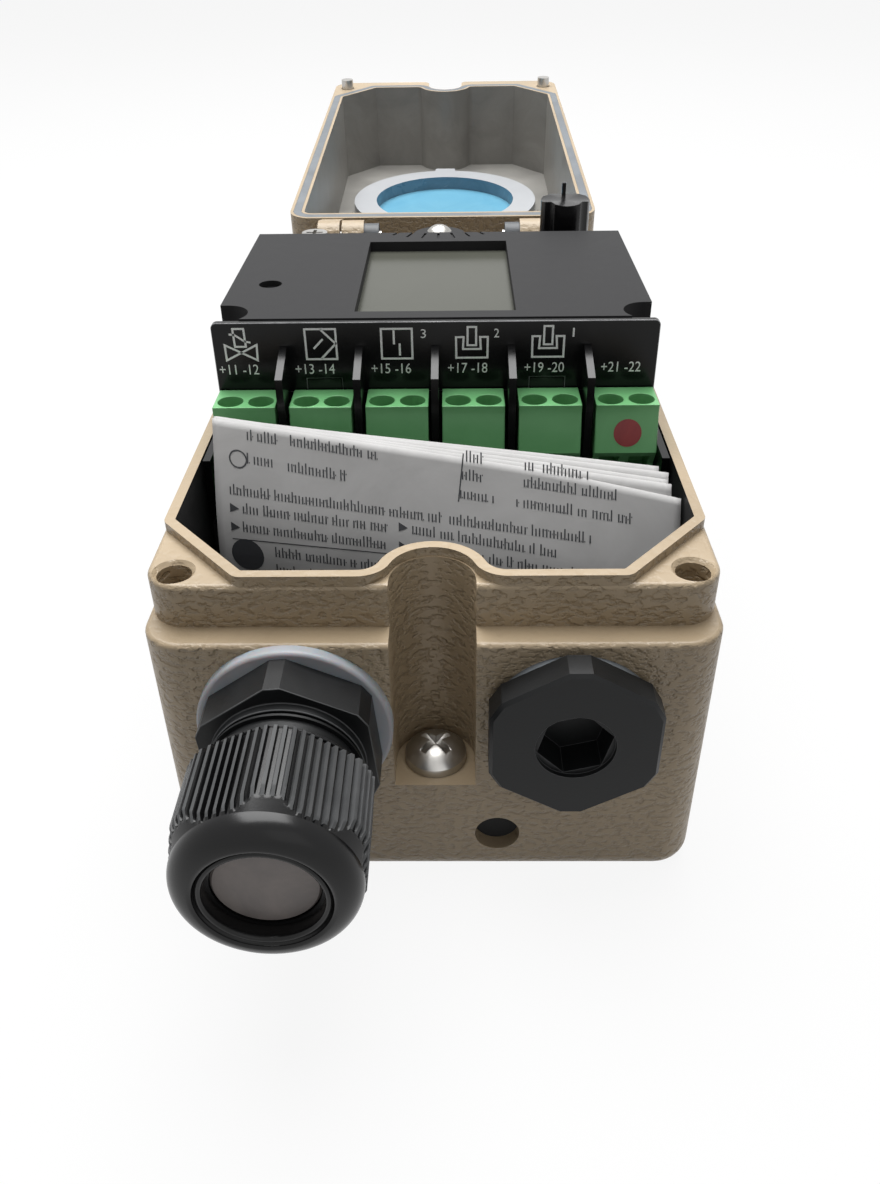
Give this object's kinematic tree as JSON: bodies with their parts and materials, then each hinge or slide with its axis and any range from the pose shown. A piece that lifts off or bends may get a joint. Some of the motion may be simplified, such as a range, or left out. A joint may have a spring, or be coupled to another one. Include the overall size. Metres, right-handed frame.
{
  "type": "valve positioner",
  "caption": "Electropneumatic valve positioner in a tub housing, hinged cover with round window open, terminals, display, dial knob and cable gland.",
  "frame": {"origin": "centre of the housing's back face, the face that bolts to the actuator", "axes": "+Z out of the back face towards the cover, -Y towards the cable entries, +X to the right with the cable entries towards the viewer"},
  "size_m": [0.082, 0.3514, 0.0797],
  "materials": {
    "housing_paint": "hammered beige powder coat on die-cast aluminium",
    "black_plastic": "satin black polyamide",
    "gloss_plastic": "gloss black",
    "dark_plastic": "matte dark grey",
    "pale_plastic": "off-white",
    "green_plastic": "satin green",
    "washer_plastic": "translucent grey",
    "disc_plastic": "grey-brown",
    "label_plastic": "gloss black with white marks",
    "display_glass": "grey-green display",
    "window_glass": "clear",
    "steel": "bright",
    "cast_metal": "bare die-cast",
    "brass": "turned",
    "rubber": "matte black",
    "board": "board",
    "paper": "matt paper"
  },
  "bodies": {
    "housing_body": {"air_booster": "cast_metal", "blanking_plug": "black_plastic", "block_gasket": "rubber", "block_screws": "steel", "cap_screws": "steel", "electronics_cover": "dark_plastic", "encoder_body": "dark_plastic", "fixing_screw": "steel", "gland_body": "black_plastic", "gland_seal": "rubber", "gland_washer": "washer_plastic", "hinge_collars": "black_plastic", "hinge_pins": "steel", "housing": "housing_paint", "key_switch": "dark_plastic", "lcd_frame": "dark_plastic", "lcd_glass": "display_glass", "leaflet": "paper", "main_board": "board", "module_base": "dark_plastic", "module_screws": "steel", "plug_seal": "rubber", "pneumatic_block": "cast_metal", "port_orings": "rubber", "pressure_converter": "cast_metal", "shaft_bush": "brass", "terminal_block_1": "green_plastic", "terminal_block_2": "green_plastic", "terminal_block_3": "green_plastic", "terminal_block_4": "green_plastic", "terminal_block_5": "green_plastic", "terminal_block_6": "green_plastic", "terminal_board": "board", "terminal_carrier": "dark_plastic", "terminal_label": "label_plastic", "terminal_screws": "steel", "travel_sensor": "dark_plastic"},
    "cover_body": {"cover": "housing_paint", "cover_gasket": "rubber", "window_seal": "rubber", "window_glass": "window_glass", "window_ring": "pale_plastic"},
    "left_cover_screw": {"cover_screw_left": "steel"},
    "right_cover_screw": {"cover_screw_right": "steel"},
    "gland_nut_body": {"gland_nut": "black_plastic", "gland_dust_disc": "disc_plastic"},
    "feedback_body": {"feedback_shaft": "steel", "snap_ring": "steel", "travel_pointer": "dark_plastic", "pointer_screw": "steel"},
    "spindle_body": {"encoder_spindle": "steel"},
    "knob_body": {"rotary_knob": "gloss_plastic"},
    "key_body": {"init_key": "gloss_plastic"}
  },
  "joints": [
    {"name": "cover_hinge", "type": "hinge", "parent": "housing_body", "child": "cover_body", "pos_m": [0, 0.084, 0.057], "axis": [1, 0, 0], "range_deg": [0, 175.9]},
    {"name": "left_cover_screw_turn", "type": "hinge", "parent": "cover_body", "child": "left_cover_screw", "pos_m": [-0.0364, 0.23596, 0.04483], "axis": [0, 0.0715, -0.9974], "continuous": true},
    {"name": "right_cover_screw_turn", "type": "hinge", "parent": "cover_body", "child": "right_cover_screw", "pos_m": [0.0364, 0.23596, 0.04483], "axis": [0, 0.0715, -0.9974], "continuous": true},
    {"name": "gland_nut_turn", "type": "hinge", "parent": "housing_body", "child": "gland_nut_body", "pos_m": [-0.02, -0.096, 0.0323], "axis": [0, -1, 0], "continuous": true},
    {"name": "feedback_turn", "type": "hinge", "parent": "housing_body", "child": "feedback_body", "pos_m": [0, 0.04, 0], "axis": [0, 0, 1], "range_deg": [-40, 40]},
    {"name": "encoder_turn", "type": "hinge", "parent": "housing_body", "child": "spindle_body", "pos_m": [0.0266, 0.0375, 0.06], "axis": [0, 0, 1], "continuous": true},
    {"name": "knob_press", "type": "slide", "parent": "spindle_body", "child": "knob_body", "axis": [0, 0, 1], "range_m": [-0.0008, 0], "stiffness_N_per_m": 2000, "springref_m": 0.0003},
    {"name": "key_press", "type": "slide", "parent": "housing_body", "child": "key_body", "axis": [0, 0, 1], "range_m": [-0.0008, 0], "stiffness_N_per_m": 1500, "springref_m": 0.0003}
  ]
}
